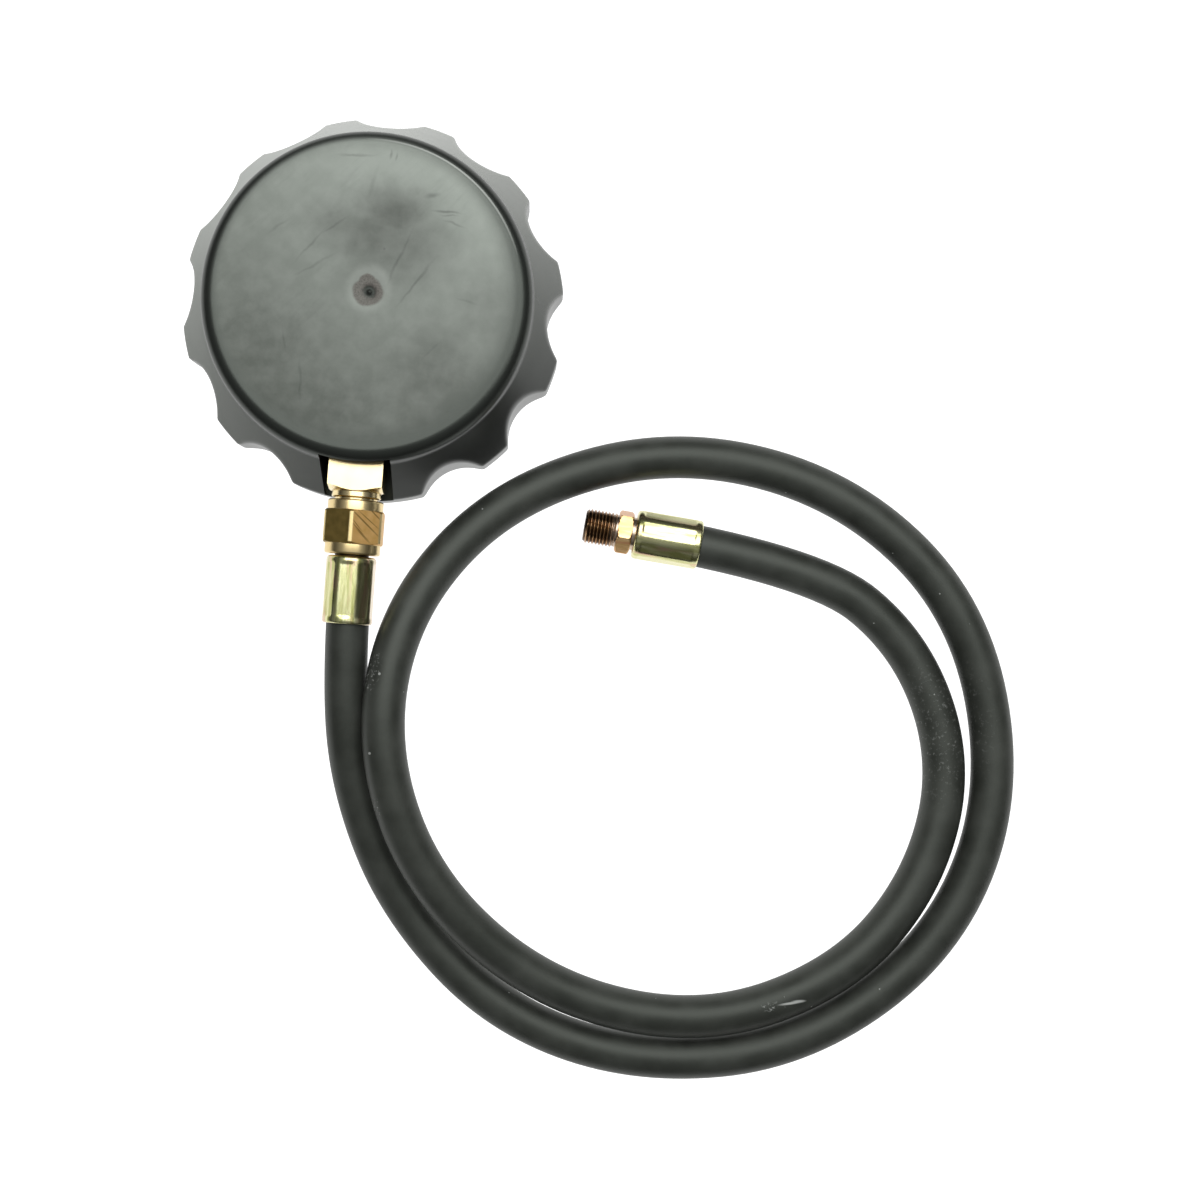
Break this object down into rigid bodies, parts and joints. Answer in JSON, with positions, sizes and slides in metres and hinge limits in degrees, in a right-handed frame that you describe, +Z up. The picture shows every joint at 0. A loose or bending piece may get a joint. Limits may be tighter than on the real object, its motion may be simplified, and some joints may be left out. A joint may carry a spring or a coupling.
{
  "type": "engine oil pressure tester",
  "caption": "Dial pressure gauge in a lobed rubber boot, with a crimped rubber hose and a threaded steel adapter for the engine.",
  "frame": {"origin": "middle of the footprint of the gauge with its nut, on the bench; the hose is left out of this", "axes": "+Z up, from the dial to the gauge's back; +Y away from the hose along the stem; +X to the side where the hose lies"},
  "size_m": [0.2459, 0.2653, 0.035],
  "materials": {
    "boot_rubber": "moulded matte black rubber with a thin grey bloom",
    "case_steel": "black stoved paint",
    "bezel_steel": "black stoved paint",
    "window_clear": "clear",
    "seal_rubber": "plain",
    "dial_white": "white satin paint with black print",
    "screw_steel": "plain",
    "movement_brass": "plain",
    "pin_steel": "polished",
    "pointer_black": "black satin paint",
    "spring_bronze": "plain",
    "tube_bronze": "drawn tube",
    "socket_brass": "machined, bright",
    "nut_brass": "turned collars, dull hexagon",
    "fitting_zinc": "yellow passivated zinc plate",
    "adapter_zinc": "yellow passivated zinc plate",
    "hose_rubber": "extruded matte black rubber"
  },
  "bodies": {
    "gauge": {"stem_socket": "socket_brass", "restrictor_screw": "socket_brass", "protective_boot": "boot_rubber", "gauge_case": "case_steel", "bezel_ring": "bezel_steel", "window": "window_clear", "window_gasket": "seal_rubber", "dial_plate": "dial_white", "dial_screws": "screw_steel", "dial_pillars": "movement_brass", "zero_stop_pin": "pin_steel", "hairspring": "spring_bronze", "hairspring_stud": "movement_brass", "bourdon_tube": "tube_bronze", "movement_front_plate": "movement_brass", "movement_back_plate": "movement_brass", "movement_pillars": "movement_brass", "movement_screws": "screw_steel", "foot_screws": "screw_steel", "case_screws": "screw_steel", "hose_tail": "fitting_zinc", "ferrule_gauge_end": "fitting_zinc", "hose": "hose_rubber", "ferrule_engine_end": "fitting_zinc", "engine_adapter": "adapter_zinc"},
    "pointer": {"pointer": "pointer_black", "pinion_arbor": "pin_steel", "hairspring_collet": "movement_brass"},
    "sector": {"sector_gear": "movement_brass", "sector_staff": "pin_steel", "sector_link_pin": "pin_steel"},
    "tube_tip": {"bourdon_tip": "movement_brass", "tip_link_pin": "pin_steel"},
    "link": {"link": "movement_brass"},
    "nut": {"swivel_nut": "nut_brass"}
  },
  "joints": [
    {"name": "sector_turn", "type": "hinge", "parent": "gauge", "child": "sector", "pos_m": [-0.01338, -0.00393, 0.01615], "axis": [0, 0, 1], "range_deg": [-33.75, 0], "stiffness_Nm_per_rad": 0.01},
    {"name": "pointer_turn", "type": "hinge", "parent": "gauge", "child": "pointer", "pos_m": [0, 0.00811, 0.01615], "axis": [0, 0, 1], "range_deg": [0, 270], "deforming": ["hairspring"]},
    {"name": "tip_swing", "type": "hinge", "parent": "gauge", "child": "tube_tip", "pos_m": [0.00411, 0.01554, 0.0195], "axis": [0, 0, 1], "range_deg": [-5.46, 0], "deforming": ["bourdon_tube"]},
    {"name": "link_swing", "type": "hinge", "parent": "tube_tip", "child": "link", "pos_m": [-0.0215, 0.00411, 0.01715], "axis": [0, 0, 1], "range_deg": [0, 5.06]},
    {"name": "nut_turn", "type": "hinge", "parent": "gauge", "child": "nut", "pos_m": [0, -0.05339, 0.0195], "axis": [0, -1, 0], "continuous": true}
  ],
  "couplings": [
    {"joint": "pointer_turn", "follows": "sector_turn", "ratio": -8},
    {"joint": "tip_swing", "follows": "sector_turn", "ratio": 0.16175},
    {"joint": "link_swing", "follows": "sector_turn", "ratio": -0.14966}
  ]
}
